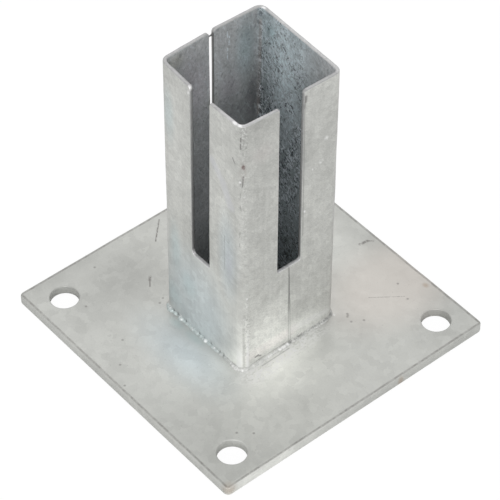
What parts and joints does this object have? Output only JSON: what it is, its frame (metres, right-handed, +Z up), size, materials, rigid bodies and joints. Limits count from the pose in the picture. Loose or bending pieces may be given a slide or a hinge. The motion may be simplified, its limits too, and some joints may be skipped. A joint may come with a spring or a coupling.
{
  "type": "post base plate",
  "caption": "Square galvanised base plate with corner bolt holes and an upright slotted square stub that a fence post slides over.",
  "frame": {"origin": "middle of the plate's underside, on the surface that it is bolted to", "axes": "+Z up along the stub, X and Y along the plate's edges; the slotted web faces -Y and the seam faces +X"},
  "size_m": [0.15, 0.15, 0.155],
  "materials": {
    "galvanised_plate": "hot-dip galvanised, dull satin",
    "galvanised_sheet": "hot-dip galvanised, satin with faint spangle",
    "galvanised_weld": "weld bead under zinc"
  },
  "bodies": {
    "root": {"base_plate": "galvanised_plate", "front_channel": "galvanised_sheet", "rear_channel": "galvanised_sheet", "weld_bead": "galvanised_weld"}
  },
  "joints": []
}
